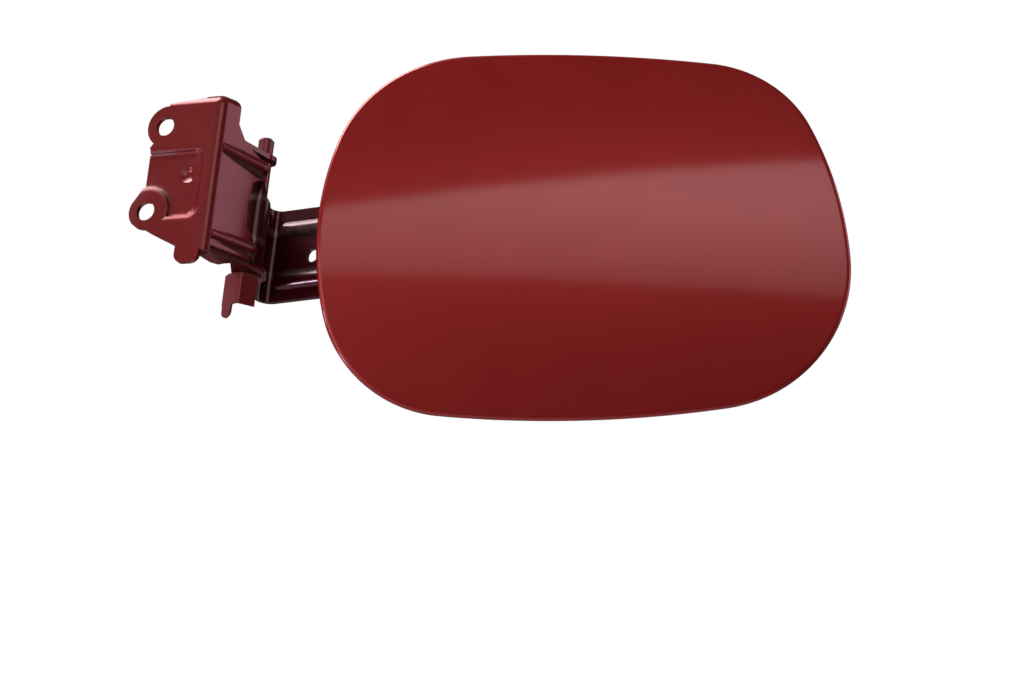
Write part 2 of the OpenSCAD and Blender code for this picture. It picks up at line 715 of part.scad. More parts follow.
module bumper(at) translate([at[0], pan_back, at[1]]) rotate([-90, 0, 0]) rotate_extrude()
    polygon([[0, -inner_t - 4], [2, -inner_t - 4], [stem_d / 2 + 1, -inner_t - 1], [stem_d / 2 + 1, -inner_t],
        [stem_d / 2, -inner_t], [stem_d / 2, 0], [bumper_d / 2, 0], [bumper_d / 2, 2],
        [bumper_d / 2 - 1, 3], [bumper_d / 2 - 1, bumper_h - 1.5], [bumper_d / 2 - 2.5, bumper_h], [0, bumper_h]]);

module bumper_upper() color(rubber) from_seat() at_door() bumper(bumper_at[0]);
module bumper_lower() color(rubber) from_seat() at_door() bumper(bumper_at[1]);

// Cap holder: a clip with two arms that close towards each other at their ends
module cap_holder() color(plastic) from_seat() at_door() {
    wall = 2.2;
    half = 13;
    translate([holder_at[0] - holder_w / 2, pan_back, holder_at[1]]) rotate([90, 0, 90])
        linear_extrude(holder_w) {
            translate([0, -half]) square([wall, 2 * half]);
            for (s = [0, 1])
                mirror([0, s]) translate([0, 5]) {
                    square([holder_h - wall, wall]);
                    translate([holder_h - wall, 0.6]) circle(r = 1.6 + wall / 4);
                }
        }
    for (s = [-1, 1])
        translate([holder_at[0], pan_back, holder_at[1] + s * peg_z]) rotate([-90, 0, 0]) rotate_extrude()
            polygon([[0, -inner_t - 4.5], [1.4, -inner_t - 4.5], [peg_d / 2 + 0.6, -inner_t - 1],
                [peg_d / 2 + 0.6, -inner_t], [peg_d / 2, -inner_t], [peg_d / 2, 0.5], [0, 0.5]]);
}

outer_panel();
inner_panel();
hinge_arm();
hinge_pin();
hinge_bracket();
snap_spring();
latch_striker();
striker_rivets();
bumper_upper();
bumper_lower();
cap_holder();
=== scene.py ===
# %% [markdown]
# # A red fuel filler flap
#
# The part is a car's fuel filler flap: a crowned oval door on a swan-neck hinge arm, and the
# stamped bracket that holds its hinge pin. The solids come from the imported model, which is
# loaded first as a fixed frame. Everything made here lies in that frame, in metres.

# %% Load the frame
import math

import bmesh
import bpy
import numpy as np
from mathutils import Matrix


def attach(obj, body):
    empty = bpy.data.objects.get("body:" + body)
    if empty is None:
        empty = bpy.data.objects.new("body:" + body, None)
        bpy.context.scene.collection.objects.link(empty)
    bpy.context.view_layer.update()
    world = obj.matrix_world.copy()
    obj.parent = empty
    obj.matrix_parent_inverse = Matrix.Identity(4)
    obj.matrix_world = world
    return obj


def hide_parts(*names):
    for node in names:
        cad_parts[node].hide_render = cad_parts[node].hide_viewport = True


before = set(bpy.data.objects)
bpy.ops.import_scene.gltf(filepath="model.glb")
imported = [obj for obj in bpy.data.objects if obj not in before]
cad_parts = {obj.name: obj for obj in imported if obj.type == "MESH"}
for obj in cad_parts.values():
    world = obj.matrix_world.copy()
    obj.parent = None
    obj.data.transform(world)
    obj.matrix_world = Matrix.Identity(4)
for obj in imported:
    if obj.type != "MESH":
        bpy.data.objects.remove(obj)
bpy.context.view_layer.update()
MM = 0.001
print("nodes:", sorted(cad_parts))

# %% [markdown]
# ## Camera
#
# The photograph was taken with a long lens from below the door, and the picture is turned a
# few degrees against the hinge pin. A camera could be aimed by a constraint, but that would
# hide the turn of the picture. So its matrix is written out from a place, a rise and a roll,
# which keeps the numbers readable.

# %% Camera
CAMERA_PLACE = np.array([141.745, -1858.22, -728.64]) * MM
CAMERA_RISE = math.radians(-20.0)
CAMERA_ROLL = math.radians(6.55)
CAMERA_LENS = 185.03
SENSOR_WIDTH = 36.0
FARTHEST_SEEN = 30.0


def camera_axes(rise, roll):
    """Right, up and back of the camera: level axes looking along +Y, tipped by the rise and
    turned about the line of sight by the roll."""
    right = np.array([1.0, 0.0, 0.0])
    up = np.array([0.0, math.sin(rise), math.cos(rise)])
    back = np.array([0.0, -math.cos(rise), math.sin(rise)])
    turned_right = math.cos(roll) * right + math.sin(roll) * up
    turned_up = -math.sin(roll) * right + math.cos(roll) * up
    return turned_right, turned_up, back


def standing(axes, place):
    """Matrix of an object whose own axes are the columns of axes and whose origin is place."""
    return Matrix([[*axes[i], place[i]] for i in range(3)] + [[0, 0, 0, 1]])


camera = bpy.data.objects.new("camera", bpy.data.cameras.new("camera"))
bpy.context.scene.collection.objects.link(camera)
camera.matrix_world = standing(np.column_stack(camera_axes(CAMERA_RISE, CAMERA_ROLL)), CAMERA_PLACE)
camera.data.lens = CAMERA_LENS
camera.data.sensor_width = SENSOR_WIDTH
camera.data.clip_end = FARTHEST_SEEN
bpy.context.scene.camera = camera
print("camera at", CAMERA_PLACE.round(3))

# %% [markdown]
# ## Shader maths as expressions
#
# A finish is a graph of nodes, and wiring each node by hand is long. A node group would hide
# the formula in boxes. So a small class wraps one output socket and overloads the operators:
# an expression on wires adds its Math nodes, and the formula can be read in the code.


# %% Wires
class Wire:
    """One output socket of a finish, which can be added, multiplied and so on."""

    def __init__(self, finish, socket):
        self.finish, self.socket = finish, socket

    def __add__(self, other):
        return self.finish.maths("ADD", self, other)

    def __sub__(self, other):
        return self.finish.maths("SUBTRACT", self, other)

    def __rsub__(self, other):
        return self.finish.maths("SUBTRACT", other, self)

    def __mul__(self, other):
        return self.finish.maths("MULTIPLY", self, other)

    def __pow__(self, other):
        return self.finish.maths("POWER", self, other)

    __radd__ = __add__
    __rmul__ = __mul__


print("wires can be added, subtracted, multiplied and raised to a power")

# %% [markdown]
# ## Finishes
#
# Every surface here is a material made of nodes. It needs no picture file and stays sharp
# from any distance. One method makes any node from its type, its settings and the values of
# its sockets, and short methods on top of it make the few kinds that are used. Patterns read
# Object coordinates, which stay with a piece when the door swings.


# %% Finishes
class Finish:
    """A material with one Principled shader. Plain numbers go on the shader's own sockets."""

    def __init__(self, name, **sockets):
        self.material = bpy.data.materials.new(name)
        self.material.use_nodes = True
        self.tree = self.material.node_tree
        self.shader = self.tree.nodes["Principled BSDF"]
        self.set(**sockets)
        self.place = self.node("ShaderNodeTexCoord", {}, {}, "Object")

    def wire_up(self, node, sockets):
        """Puts a value on each socket of a node, or a link where the value is a wire."""
        for key, value in sockets.items():
            socket = node.inputs[key]
            if isinstance(value, Wire):
                self.tree.links.new(value.socket, socket)
            else:
                socket.default_value = value

    def node(self, kind, settings, sockets, output=0):
        """A new node with its settings and sockets. Gives the wire of one of its outputs."""
        made = self.tree.nodes.new(kind)
        for key, value in settings.items():
            if key == "stops":
                for element, (position, colour) in zip(made.color_ramp.elements, value):
                    element.position, element.color = position, colour
            else:
                setattr(made, key, value)
        self.wire_up(made, sockets)
        return Wire(self, made.outputs[output])

    def set(self, **sockets):
        """Sets sockets of the shader, with _ written for the blank in a socket's name."""
        self.wire_up(self.shader, {k.replace("_", " "): v for k, v in sockets.items()})
        return self

    def maths(self, operation, a, b=0.0):
        """One Math node over two values or wires."""
        return self.node("ShaderNodeMath", {"operation": operation}, {0: a, 1: b})

    def clip(self, wire, low, high):
        """The wire's value, held between low and high."""
        return self.maths("MINIMUM", self.maths("MAXIMUM", wire, low), high)

    def part(self, vector, axis):
        """The x, y or z of a vector, for axis 0, 1 or 2."""
        return self.node("ShaderNodeSeparateXYZ", {}, {"Vector": vector}, axis)

    def facing(self, axis):
        """The x, y or z of the way the surface faces, measured on the piece."""
        return self.part(self.node("ShaderNodeTexCoord", {}, {}, "Normal"), axis)

    def noise(self, scale, detail=2.0, rough=0.5):
        """A cloud of values round a half, with as many cells to the metre as scale says."""
        return self.node("ShaderNodeTexNoise", {}, {
            "Vector": self.place, "Scale": scale, "Detail": detail, "Roughness": rough})

    def ramp(self, wire, low, high, a=(0, 0, 0, 1), b=(1, 1, 1, 1)):
        """Colour a up to the value low, colour b from the value high on, a blend between."""
        return self.node("ShaderNodeValToRGB", {"stops": [(low, a), (high, b)]}, {"Fac": wire})

    def blend(self, factor, a, b):
        """Colour a where the factor is 0, colour b where it is 1."""
        return self.node("ShaderNodeMix", {"data_type": "RGBA"}, {0: factor, 6: a, 7: b}, 2)

    def bump(self, height, strength, distance, normal=None):
        """The normal of a surface raised by height times distance, over another normal."""
        sockets = {"Height": height, "Strength": strength, "Distance": distance}
        if normal:
            sockets["Normal"] = normal
        return self.node("ShaderNodeBump", {}, sockets)


print("finishes can be made")

# %% [markdown]
# ## The paint
#
# The flap wears a red metallic paint under clear lacquer. Metal flake makes the base coat
# partly metallic and gives it a fine sparkle. The lacquer is the shader's coat, with the
# slight waviness of sprayed paint. A picture of paint could be wrapped round the part, but
# its highlights would stay where they were taken. So the paint is worked out from noises: a
# very fine one for the flake, a slow one for the thickness, and one for soil.

# %% Paint
# Cells to the metre of each noise, then factors on a colour and the flake's share of it.
SLOW, PATCHES, SOIL, WAVES, FLAKES = 28.0, 60.0, 90.0, 420.0, 1900.0
DIM, BRIGHT, FLAKE_SHARE, SHADE_FACTOR = 0.72, 1.4, 0.45, 0.25
DUST_AND_HIGHLIGHT_COLOUR = (0.26, 0.17, 0.17, 1)
EDGE_ROUNDING = 0.3 * MM


def tinted(colour, factor=1.0):
    """A colour's three values times a factor, with full cover."""
    return (*[c * factor for c in colour], 1)


def paint(name, colour, deep, metal, rough, coat, flake, dust,
          gloss=0.13, relief=None, dust_and_highlight=None, under=None):
    """Sprayed metallic paint: the colour falls towards a deeper one by a slow noise, and a flake noise of
    about half a millimetre lifts and lowers both colour and slope. A relief is a function that gives the
    height of pressed forms in metres, and a second one gives a share of pale colour along a form: dust, and
    on the bracket's pocket also a painted highlight. Where the function called under gives a share, the
    colour falls to a dark one and loses lacquer: this is painted shade on sides turned away from the light."""
    f = Finish(name, Metallic=metal, Coat_Roughness=gloss, Coat_IOR=1.5, Coat_Weight=coat)
    sparkle = f.noise(FLAKES, 1.0, 0.6)
    lit = f.blend((sparkle - 0.5) * flake + 0.5, tinted(colour, DIM), tinted(colour, BRIGHT))
    sprayed = f.blend(FLAKE_SHARE, f.blend(f.noise(SLOW, 3.0), tinted(colour), tinted(deep)), lit)
    # Painted shade: where the share is high, the colour falls towards a dark one and the lacquer thins.
    if under:
        painted_shade = under(f)
        sprayed = f.blend(painted_shade, sprayed, tinted(deep, SHADE_FACTOR))
        f.set(Coat_Weight=coat - painted_shade * coat)
    cover = f.ramp(f.noise(SOIL, 6.0, 0.65), 0.56, 0.74) * dust
    # Pale colour along a form: dust, and on the bracket's pocket a painted highlight.
    if dust_and_highlight:
        cover = cover + dust_and_highlight(f)
    edge = f.node("ShaderNodeBevel", {"samples": 6}, {"Radius": EDGE_ROUNDING})
    formed = f.bump(relief(f), 1.0, 1.0, edge) if relief else edge
    wave = f.bump(f.noise(WAVES, 2.0), 0.05, 0.4 * MM, formed)
    grain = f.bump(sparkle, 0.10, 0.08 * MM, wave)
    return f.set(Base_Color=f.blend(cover, sprayed, DUST_AND_HIGHLIGHT_COLOUR), Normal=grain,
                 Roughness=rough + 0.12 * (f.noise(PATCHES) - 0.5)).material


print("paint can be mixed, its flake about", round(1 / FLAKES / MM, 2), "mm")

# %% [markdown]
# ## Door paint and overspray
#
# The door's face is sprayed thick and even. Its folded edge is darker as painted shade where it turns away
# from the front, which a share over the way the surface faces gives. Behind the door lies thin overspray,
# duller than the face, and its colour is darker both as a thin coat and as painted shade of the door's
# shadow, so it stays dark also when the door stands open.


# %% Door paint
def turned_edge_shade(f):
    """Share of painted shade on the folded edge: none in front, then rising as the surface turns away, up to
    six tenths on the rim and at the back."""
    return f.ramp(f.facing(1) + 0.55, 0.0, 0.5) * 0.6


# Painted shade darkens the door's red on its folded edge and at the back.
red_paint = paint("red_metallic_paint", (0.47, 0.013, 0.0095), (0.40, 0.011, 0.008), metal=0.4,
                  rough=0.34, coat=1.0, flake=1.0, dust=0.0, gloss=0.075, under=turned_edge_shade)
# The thin paint behind the door is dark both as a thin coat and as painted shade of the door's shadow.
thin_paint_and_shade = paint("thin_red_paint", (0.13, 0.006, 0.016), (0.085, 0.005, 0.012), metal=0.4,
                   rough=0.34, coat=1.0, flake=0.5, dust=0.12)
print("paints:", red_paint.name, thin_paint_and_shade.name)

# %% [markdown]
# ## Dust on the arm
#
# Dust lies in two pale lines beside the arm's beads, where a cloth doesn't reach. It could be
# a painted texture. Two bands over the height, broken by noise, do as well and need no seams.

# %% Arm paint
BEAD_LEVELS = (-3.2 * MM, -20.4 * MM)
LINE_WIDTH = 1.2 * MM


def bead_dust(f):
    """Share of dust: a bell curve over the height round each of two levels, less by noise, on
    the outer side of the sheet alone."""
    z = f.part(f.place, 2)
    broken = f.ramp(f.noise(160.0, 3.0), 0.25, 0.55)
    bells = [f.maths("EXPONENT", ((z - level) * (1 / LINE_WIDTH)) ** 2 * -1.0) for level in BEAD_LEVELS]
    return (bells[0] + bells[1]) * broken * f.ramp(0.0 - f.facing(1), 0.1, 0.4)


# The arm's dark red is a thin coat and also painted shade of the door's shadow.
arm_paint_and_shade = paint("arm_paint_and_shade", (0.090, 0.003, 0.010), (0.062, 0.002, 0.008), metal=0.4,
                  rough=0.30, coat=0.6, flake=0.5, dust=0.12, gloss=0.06, dust_and_highlight=bead_dust)
print("paint:", arm_paint_and_shade.name)

# %% [markdown]
# ## The bracket's pressed pocket
#
# The press leaves soft slopes round the pocket of the bracket's flange, where the solid has a
# plain step. The slope could be modelled, but it is only a millimetre high. So it is a bump
# whose height follows the distance from the pocket's outline: a rounded box that runs out over
# the flange's edge, less a disc round the lower bolt hole.

# %% Pocket outline
# The fold's x and y, the flange's turn, then a disc and a box counted out from the fold.
FOLD = np.array([22.7652, -11.5995]) * MM
FLANGE_TURN = math.radians(27)
DISC_OUT, DISC_LEVEL, DISC_RADIUS = 27.3 * MM, -17.25 * MM, 9.6 * MM
POCKET_SIDE, POCKET_LOW, POCKET_TOP, POCKET_CORNER = 5.5 * MM, -20.25 * MM, 6.45 * MM, 4.0 * MM
POCKET_HALF_REACH = 30 * MM


def along_flange(f):
    """How far a place lies from the bracket's fold, counted along the flange."""
    x, y = f.part(f.place, 0), f.part(f.place, 1)
    return (float(FOLD[0]) - x) * math.cos(FLANGE_TURN) + (y - float(FOLD[1])) * math.sin(FLANGE_TURN)


def pocket_distance(f):
    """Distance from the pocket's outline: that of a rounded box, or of the disc's edge where
    the disc round the bolt hole reaches further in."""
    out, z = along_flange(f), f.part(f.place, 2)
    half_height = (POCKET_TOP - POCKET_LOW) / 2
    side = f.maths("ABSOLUTE", out - (POCKET_SIDE + POCKET_HALF_REACH))
    side = side - (POCKET_HALF_REACH - POCKET_CORNER)
    level = f.maths("ABSOLUTE", z - (POCKET_TOP + POCKET_LOW) / 2) - (half_height - POCKET_CORNER)
    beyond = f.maths("MAXIMUM", side, 0.0) ** 2 + f.maths("MAXIMUM", level, 0.0) ** 2
    inside = f.maths("MINIMUM", f.maths("MAXIMUM", side, level), 0.0)
    box = beyond ** 0.5 + inside - POCKET_CORNER
    disc = ((out - DISC_OUT) ** 2 + (z - DISC_LEVEL) ** 2) ** 0.5 - DISC_RADIUS
    return f.maths("MAXIMUM", box, 0.0 - disc)


print("pocket height in mm:", round((POCKET_TOP - POCKET_LOW) / MM, 2))

# %% [markdown]
# ## Bracket paint
#
# The bracket is painted with the car's body, so it is a thinner coat of the same red. A painted highlight
# runs along the pocket's slope with a little dust, most of it near the flange's free edge. The undersides
# past the fold, on the web's beads, are darkened as painted shade. Each of these is a share worked out from
# the place and the way the surface faces, where a hand-painted mask would need UVs.

# %% Bracket paint
SLOPE = 0.9 * MM
SLOPE_RISE = 0.5 * MM


def pocket_relief(f):
    """Height of the soft slope: half a millimetre times the hyperbolic tangent of the distance
    over nine tenths of a millimetre."""
    return f.maths("TANH", pocket_distance(f) * (1 / SLOPE)) * SLOPE_RISE


def pocket_dust_and_highlight(f):
    """Share of pale colour on the slope: a bell curve over the distance, times a painted highlight that
    rises from 17 to 20 mm out, near the flange's free edge, and a little dust broken by noise."""
    bell = f.maths("EXPONENT", (pocket_distance(f) * (1 / SLOPE)) ** 2 * -1.0)
    outer = f.clip((along_flange(f) - 17 * MM) * (1 / (3 * MM)), 0.0, 1.0)
    return bell * (outer * 0.45 + f.ramp(f.noise(110.0, 2.0), 0.4, 0.62) * 0.08)


def web_underside_shade(f):
    """Share of painted shade on undersides: four fifths past the fold, none on the flange."""
    past_fold = f.clip(along_flange(f) * (-1 / MM), 0.0, 0.8)
    return f.ramp(0.0 - f.facing(2), 0.05, 0.5) * past_fold


bracket_paint = paint("bracket_paint", (0.27, 0.007, 0.007), (0.21, 0.005, 0.006), metal=0.35,
                      rough=0.34, coat=0.7, flake=0.6, dust=0.14, gloss=0.15,
                      relief=pocket_relief, dust_and_highlight=pocket_dust_and_highlight, under=web_underside_shade)
print("paint:", bracket_paint.name)

# %% [markdown]
# ## Spring paint
#
# The snap spring is a small folded leaf of the same red. Its half away from the hinge is
# dusty and looks paler. The two halves could be two materials with a hard edge between them.
# A share that changes over two millimetres gives the soft edge that dust has.


# %% Spring paint
def leaf_dust(f):
    """Share of dust on the spring: none by the hinge, then rising over two millimetres to a
    fifth on the half away from it."""
    x = f.part(f.place, 0)
    return f.clip((37.5 * MM - x) * (1 / (2 * MM)), 0.0, 1.0) * 0.22


leaf_paint = paint("leaf_paint", (0.34, 0.022, 0.022), (0.27, 0.020, 0.020), metal=0.35,
                   rough=0.40, coat=0.5, flake=0.6, dust=0.3, dust_and_highlight=leaf_dust)
print("paint:", leaf_paint.name)

# %% [markdown]
# ## Door outline
#
# The outer panel is a pressed oval sheet, crowned both ways, whose edge is folded right round
# over the inner panel. It could be the CAD solid with a bevel, but a large smooth panel shows
# every facet, so it is worked out anew as rings. The outline is eight arcs that run into each
# other: four tight corners and four long sides. Its numbers are in millimetres, measured from
# the door's own middle, and to_row below brings them into the frame.

# %% Outline arcs
# x, z and radius of each corner arc, and the radius of the side arc that follows it.
CORNERS = np.array([[46, 27, 45.5], [-39.5, 19.5, 56.5], [-50.5, -20.5, 49], [43.5, -11, 57]])
SIDES = np.array([610.0, 126.0, 424.0, 150.0])


def side_middles():
    """Centre of each long side's arc: it touches the two corner arcs beside it from inside, so
    its distance from their centres is its radius less theirs."""
    a, b = CORNERS, np.roll(CORNERS, -1, axis=0)
    gap = b[:, :2] - a[:, :2]
    length = np.linalg.norm(gap, axis=1)
    near, far = SIDES - a[:, 2], SIDES - b[:, 2]
    along = (near**2 - far**2 + length**2) / (2 * length)
    off = np.sqrt(near**2 - along**2)
    unit = gap / length[:, None]
    across = np.column_stack([-unit[:, 1], unit[:, 0]])
    return a[:, :2] + unit * along[:, None] + across * off[:, None]


print("centres of the side arcs:", side_middles().round(1).tolist())

# %% [markdown]
# ## Outline points
#
# The points could be spaced evenly along the outline. Taken arc by arc, each keeps its arc's
# centre and direction, so that the outline can be moved inwards exactly, along the radius.


# %% Outline points
def outline_frame(corner_points=52, side_points=44):
    """Arc centre, radius and direction of every outline point, the arcs one after another."""
    middles = side_middles()
    centres, radii, turns = [], [], []
    for i in range(4):
        c, before, after = CORNERS[i, :2], middles[i - 1], middles[i]
        following = CORNERS[(i + 1) % 4, :2]
        for middle, radius, start, stop, n in (
            (c, CORNERS[i, 2], c - before, c - after, corner_points),
            (after, SIDES[i], c - after, following - after, side_points),
        ):
            a, b = math.atan2(start[1], start[0]), math.atan2(stop[1], stop[0])
            sweep = (b - a) % (2 * math.pi)
            turns.append(a + sweep * np.arange(n) / n)
            centres.append(np.tile(middle, (n, 1)))
            radii.append(np.full(n, radius))
    turns = np.concatenate(turns)
    ways = np.column_stack([np.cos(turns), np.sin(turns)])
    return np.concatenate(centres), np.concatenate(radii), ways


ARC_CENTRES, ARC_RADII, ARC_WAYS = outline_frame()
print("outline points:", len(ARC_RADII))

# %% [markdown]
# ## Crown
#
# A press gives the door a slight crown in both directions, the stronger one over its height.
# A ball would have the same crown both ways. A torus has two radii, so the face is a piece of
# a torus, and each ring of points falls back by the depth that the torus has there.

# %% Crown
CROWN_UPRIGHT, CROWN_ACROSS = 460.0, 1500.0
# The frame's origin and the door's middle in the drawing, and how far the door leans.
SEAT = np.array([-39.7652, -13.4005, 23.25])
DOOR_PLACE = np.array([124.5, -28.0, 11.0])
DOOR_TILT = math.radians(7.5)


def ring(inset, shrink=1.0):
    """The outline moved inwards by inset, then drawn in towards the middle by shrink."""
    return (ARC_CENTRES + ARC_WAYS * (ARC_RADII - inset)[:, None]) * shrink


def crown(xz, depth):
    """How far the face has fallen back at x, z: the face is a torus whose rings have the two
    crown radii, and depth is measured from it along its own radius."""
    tube = np.sqrt((CROWN_UPRIGHT - depth) ** 2 - xz[:, 1] ** 2)
    return CROWN_ACROSS - np.sqrt((CROWN_ACROSS - CROWN_UPRIGHT + tube) ** 2 - xz[:, 0] ** 2)


def to_row(local):
    """From the door's own x, depth, z to the frame of the part: tilted, moved and in metres."""
    x, y, z = local.T
    tilted = np.column_stack([
        x * math.cos(DOOR_TILT) - z * math.sin(DOOR_TILT), y,
        x * math.sin(DOOR_TILT) + z * math.cos(DOOR_TILT)])
    return (tilted + DOOR_PLACE - SEAT) * MM


def ring_points(inset, depth, shrink=1.0):
    """One ring of points in the door's own x, depth, z."""
    xz = ring(inset, shrink)
    return np.column_stack([xz[:, 0], crown(xz, depth), xz[:, 1]])


print("the outline falls back by up to", ring_points(0.0, 0.0)[:, 1].max().round(1), "mm")

# %% [markdown]
# ## Hem
#
# The sheet's edge is rolled over and pressed flat behind the inner panel, which is a hem. A
# Solidify modifier would give the sheet its wall, but no fold. So the section of the edge is
# written down as steps: how far in, how deep, and the outline carries it all the way round.

# %% Hem
# Depths of the skin's inner side, the slot and the hem's back, and how far the hem runs in.
SKIN, HEM_SLOT, HEM_BACK, HEM_WIDTH = 0.8, 1.7, 2.5, 8.0
HEM_THROAT = 0.85
ROLL = HEM_BACK / 2
INNER_RING = 40.0


def hem_profile():
    """Rings as (inset, depth, shrink), from the middle of the face out, round the rolled edge,
    in under the hem and back to the middle of the sheet's inner side."""
    inner = [(INNER_RING, s) for s in (0.08, 0.2, 0.35, 0.5, 0.65, 0.8, 0.9)]
    face = [(d, 1.0) for d in (INNER_RING, 34, 28, 23, 18, 14, 11, 8.5, 6.5, 5, 3.8, 2.8, 2.0)]
    bends = np.linspace(0, math.pi, 15)
    roll = [(ROLL * (1 - math.sin(a)), ROLL * (1 - math.cos(a)), 1.0) for a in bends]
    back = [(d, HEM_BACK, 1.0) for d in (2.2, 3.5, 5.0, 6.5, HEM_WIDTH - 0.1)]
    lip = [(HEM_WIDTH, HEM_BACK - 0.1, 1.0), (HEM_WIDTH, HEM_SLOT, 1.0), (4.0, HEM_SLOT, 1.0),
           (HEM_THROAT, HEM_SLOT, 1.0), (HEM_THROAT, SKIN, 1.0), (4.0, SKIN, 1.0),
           (HEM_WIDTH, SKIN, 1.0)]
    out = [(d, 0.0, s) for d, s in inner + face]
    inside = [(d, SKIN, s) for d, s in face[:7][::-1] + inner[::-1]]
    return out + roll + back + lip + inside


profile = hem_profile()
print("steps of the section:", len(profile))

# %% [markdown]
# ## Door skin as a mesh
#
# The rings lie one after another like the layers of a wasp's nest, so the faces between them
# follow from counting alone. Bridging them with an operator would need the rings to be picked
# by hand. A fan of triangles closes the middle of the face and of the inner side.


# %% Door skin
def closed_rings(name, rings, first, last):
    """A closed surface from a stack of rings: four points of two neighbouring rings make a
    face, and a fan of triangles closes each end."""
    n = rings.shape[1]
    points = np.concatenate([rings.reshape(-1, 3), first[None], last[None]])
    i, j = np.meshgrid(np.arange(len(rings) - 1), np.arange(n), indexing="ij")
    k = (j + 1) % n
    quads = np.stack([i * n + j, i * n + k, (i + 1) * n + k, (i + 1) * n + j], axis=-1)
    j = np.arange(n)
    k = (j + 1) % n
    end = (len(rings) - 1) * n
    top = np.column_stack([np.full(n, len(points) - 2), k, j])
    bottom = np.column_stack([np.full(n, len(points) - 1), end + j, end + k])
    mesh = bpy.data.meshes.new(name)
    faces = quads.reshape(-1, 4).tolist() + top.tolist() + bottom.tolist()
    mesh.from_pydata(points.tolist(), [], faces)
    return mesh


stack = np.stack([to_row(ring_points(*step)) for step in profile])
poles = [to_row(np.array([[0.0, d, 0.0]]))[0] for d in (0.0, SKIN)]
skin_mesh = closed_rings("door_skin", stack, poles[0], poles[1])
print("faces of the door skin:", len(skin_mesh.polygons))

# %% [markdown]
# ## A piece in the scene
#
# A mesh becomes a piece when it has an object, a finish, a body that it rides on and the CAD
# nodes that it stands for. Its faces are turned outwards first, and it is smooth but for
# edges sharper than 38 degrees, such as the hem's lip.

# %% Pieces
SHARP_FROM = math.radians(38)


def add_piece(name, mesh, finish, body, slot, *nodes):
    """Puts a mesh into the scene as a smooth piece that rides on a body and stands for nodes."""
    made = bmesh.new()
    made.from_mesh(mesh)
    bmesh.ops.recalc_face_normals(made, faces=made.faces)
    made.to_mesh(mesh)
    made.free()
    mesh.shade_smooth()
    mesh.set_sharp_from_angle(angle=SHARP_FROM)
    piece = bpy.data.objects.new(name, mesh)
    bpy.context.scene.collection.objects.link(piece)
    mesh.materials.append(finish)
    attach(piece, body)
    if nodes:
        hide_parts(*nodes)
    return piece


door_skin = add_piece("door_skin", skin_mesh, red_paint, "door", "red_metallic_paint", "outer_panel")
print("door skin in place")

# %% [markdown]
# ## Stampings
#
# The arm, the bracket, the spring and the striker are bent sheet. Their solids have the right
# form, but their mesh comes as loose triangles, each with one flat normal. A merged copy could
# be smoothed by Blender, yet long thin triangles then drag the shade of a bend across a flat
# side. So the normals are worked out here: around each corner the faces that bend gently take
# part, and each counts by the area of the whole flat side it belongs to.

# %% Flat sides
LEVEL = math.cos(math.radians(0.4))


def touching_faces(corners):
    """Pairs of faces that share an edge: every edge is written lower number first and all are
    sorted, so that the two that are equal come to stand side by side."""
    edges = np.sort(corners[:, [0, 1, 1, 2, 2, 0]].reshape(-1, 2), axis=1)
    faces = np.repeat(np.arange(len(corners)), 3)
    order = np.lexsort((edges[:, 1], edges[:, 0]))
    same = (edges[order][1:] == edges[order][:-1]).all(axis=1)
    return np.column_stack([faces[order][:-1][same], faces[order][1:][same]])


def flat_sides(normals, pairs):
    """Label of the flat side of each triangle: neighbours over an edge that lie in one plane
    take the lower label of the two, again and again until none changes."""
    label = np.arange(len(normals))
    level = (normals[pairs[:, 0]] * normals[pairs[:, 1]]).sum(axis=1) > LEVEL
    a, b = pairs[level].T
    while True:
        low = np.minimum(label[a], label[b])
        new = label.copy()
        np.minimum.at(new, a, low)
        np.minimum.at(new, b, low)
        new = new[new]
        if (new == label).all():
            return label
        label = new


print("faces within", round(math.degrees(math.acos(LEVEL)), 2), "degrees count as one flat side")

# %% [markdown]
# ## Normals at the corners
#
# A normal belongs to a corner of a face here, not to a vertex, so that one vertex can be
# smooth towards a bend and sharp towards a cut edge. Every corner looks at all the corners at
# its vertex and adds up the faces that lie within a limit of its own.


# %% Normals of bent sheet
def read_triangles(mesh):
    """Corner numbers of a mesh's triangles, in rows of three, and its points."""
    corners = np.empty(len(mesh.loops), np.int32)
    mesh.loops.foreach_get("vertex_index", corners)
    points = np.empty(len(mesh.vertices) * 3, np.float32)
    mesh.vertices.foreach_get("co", points)
    return corners.reshape(-1, 3).astype(int), points.reshape(-1, 3).astype(float)


def corner_angles(sides):
    """Angle at each corner of each triangle, between the sides that arrive and leave there."""
    units = sides / np.maximum(np.linalg.norm(sides, axis=2), 1e-12)[:, :, None]
    return np.arccos(np.clip(-(units * np.roll(units, 1, axis=1)).sum(axis=2), -1, 1))


def corner_pairs(corners):
    """Every corner with each corner at the same vertex: corners sorted by vertex stand in
    runs, and each one is paired with its whole run."""
    vertex = corners.ravel()
    order = np.argsort(vertex, kind="stable")
    count = np.bincount(vertex)
    first = np.concatenate([[0], np.cumsum(count)[:-1]])
    reach = count[vertex]
    mine = np.repeat(np.arange(len(vertex)), reach)
    step = np.arange(len(mine)) - np.repeat(np.cumsum(reach) - reach, reach)
    return mine, order[first[vertex[mine]] + step]


